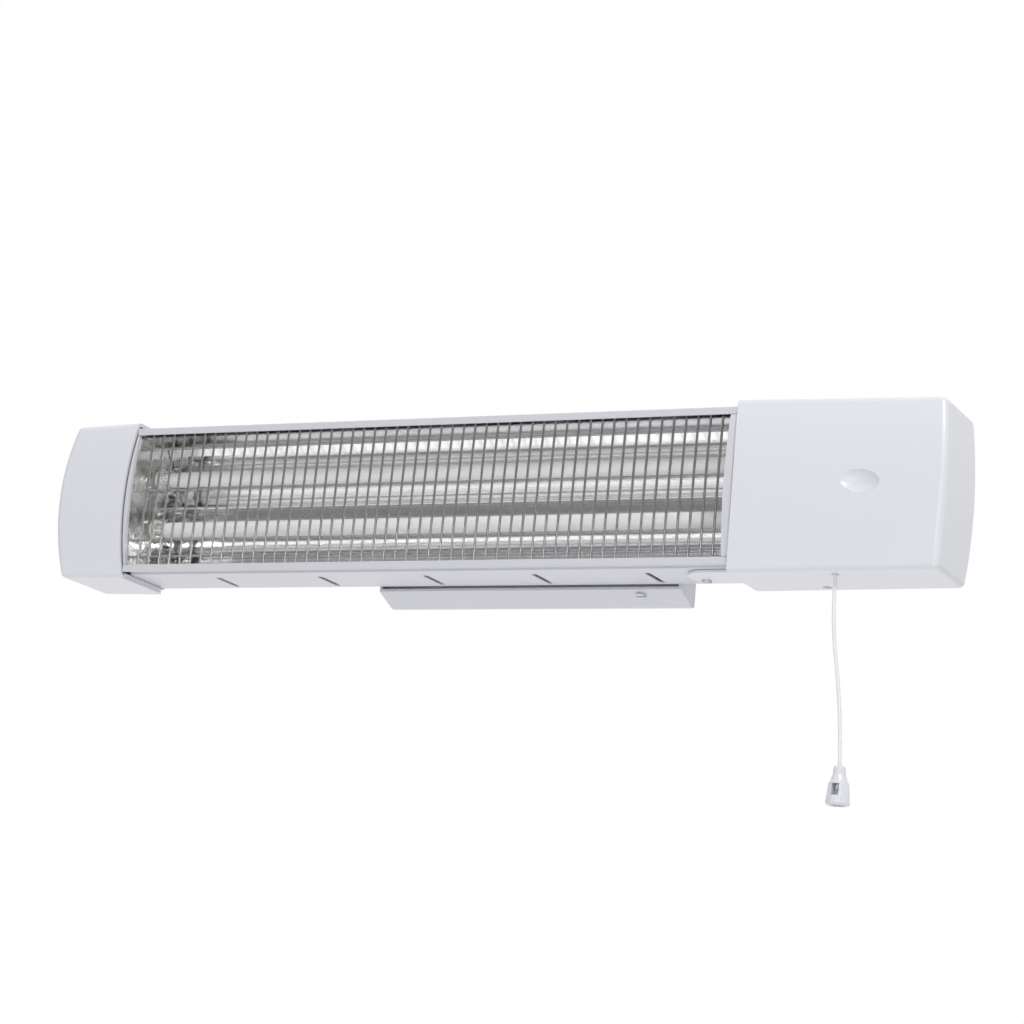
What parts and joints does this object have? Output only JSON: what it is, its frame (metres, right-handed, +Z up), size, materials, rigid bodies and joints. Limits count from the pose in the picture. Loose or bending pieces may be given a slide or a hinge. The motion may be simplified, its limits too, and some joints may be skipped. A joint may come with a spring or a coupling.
{
  "type": "quartz heater",
  "caption": "Wall-mounted infrared bathroom heater: quartz tubes behind a wire guard, plastic end caps, tilting wall bracket and a pull-cord switch.",
  "frame": {"origin": "on the wall face, midway between the two wall screw holes", "axes": "+X along the wall to the right as the room sees it, +Y into the wall, +Z up"},
  "size_m": [0.598, 0.0845, 0.2362],
  "materials": {
    "white_enamel": "smooth white baked enamel",
    "white_plastic": "moulded white plastic, half gloss",
    "polished_reflector": "bright polished sheet with a faint rolled grain",
    "guard_wire": "bright plated wire",
    "milky_quartz": "milky white quartz, satin surface",
    "resistance_wire": "dull oxidised resistance wire",
    "white_ceramic": "unglazed white steatite",
    "spring_steel": "bright crinkled spring steel",
    "zinc_steel": "zinc-plated steel",
    "switch_plastic": "ivory heat-resistant plastic",
    "contact_brass": "plain brass strip",
    "lead_sleeve": "braided glass-fibre sleeve",
    "black_rubber": "black rubber",
    "white_cord": "white braided cord"
  },
  "bodies": {
    "bracket": {"wall_bracket": "white_enamel", "bracket_screw": "zinc_steel", "pivot_bolts": "zinc_steel", "pivot_washers": "zinc_steel", "pivot_nuts": "zinc_steel"},
    "heater": {"housing": "white_enamel", "side_frame_left": "white_enamel", "side_frame_right": "white_enamel", "reflector": "polished_reflector", "reflector_end_left": "polished_reflector", "reflector_end_right": "polished_reflector", "quartz_tube_upper": "milky_quartz", "quartz_tube_lower": "milky_quartz", "heating_coil_upper": "resistance_wire", "heating_coil_lower": "resistance_wire", "ceramic_upper_left": "white_ceramic", "ceramic_upper_right": "white_ceramic", "ceramic_lower_left": "white_ceramic", "ceramic_lower_right": "white_ceramic", "tube_clip_upper_left": "spring_steel", "tube_clip_upper_right": "spring_steel", "tube_clip_lower_left": "spring_steel", "tube_clip_lower_right": "spring_steel", "terminal_pins": "contact_brass", "guard_bars": "guard_wire", "guard_rails": "guard_wire", "left_cap": "white_plastic", "right_cap": "white_plastic", "cap_screws": "zinc_steel", "tongue_screw": "zinc_steel", "wiring_chassis": "zinc_steel", "floor_screw": "zinc_steel", "switch_base": "switch_plastic", "switch_clips": "spring_steel", "contact_blades": "contact_brass", "return_spring": "spring_steel", "cord_bushing": "white_plastic", "terminal_block": "switch_plastic", "terminal_screws": "zinc_steel", "cable_grommet": "black_rubber", "thermal_cutout": "switch_plastic", "jumper_lead": "lead_sleeve", "lead_upper": "lead_sleeve", "lead_lower": "lead_sleeve", "tilt_lug_left": "white_enamel", "tilt_lug_right": "white_enamel", "lug_screws": "zinc_steel"},
    "pull": {"pull_cord": "white_cord", "cord_ball": "white_cord", "pull_knob": "white_plastic", "cord_knot": "white_cord"},
    "lever": {"switch_lever": "switch_plastic"},
    "rotor": {"switch_rotor": "switch_plastic"}
  },
  "joints": [
    {"name": "tilt", "type": "hinge", "parent": "bracket", "child": "heater", "pos_m": [0, -0.02, -0.034], "axis": [1, 0, 0], "range_deg": [0, 25]},
    {"name": "cord_pull", "type": "slide", "parent": "heater", "child": "pull", "axis": [0, 0, -1], "range_m": [0, 0.008], "stiffness_N_per_m": 300, "springref_m": -0.002},
    {"name": "lever_pivot", "type": "hinge", "parent": "heater", "child": "lever", "pos_m": [0.2318, -0.069, -0.0214], "axis": [0, -1, 0], "range_deg": [0, 33]},
    {"name": "rotor_turn", "type": "hinge", "parent": "heater", "child": "rotor", "pos_m": [0.2318, -0.069, -0.0084], "axis": [0, -1, 0], "continuous": true}
  ],
  "couplings": [
    {"joint": "lever_pivot", "follows": "cord_pull", "rad_per_m": 71.4}
  ]
}
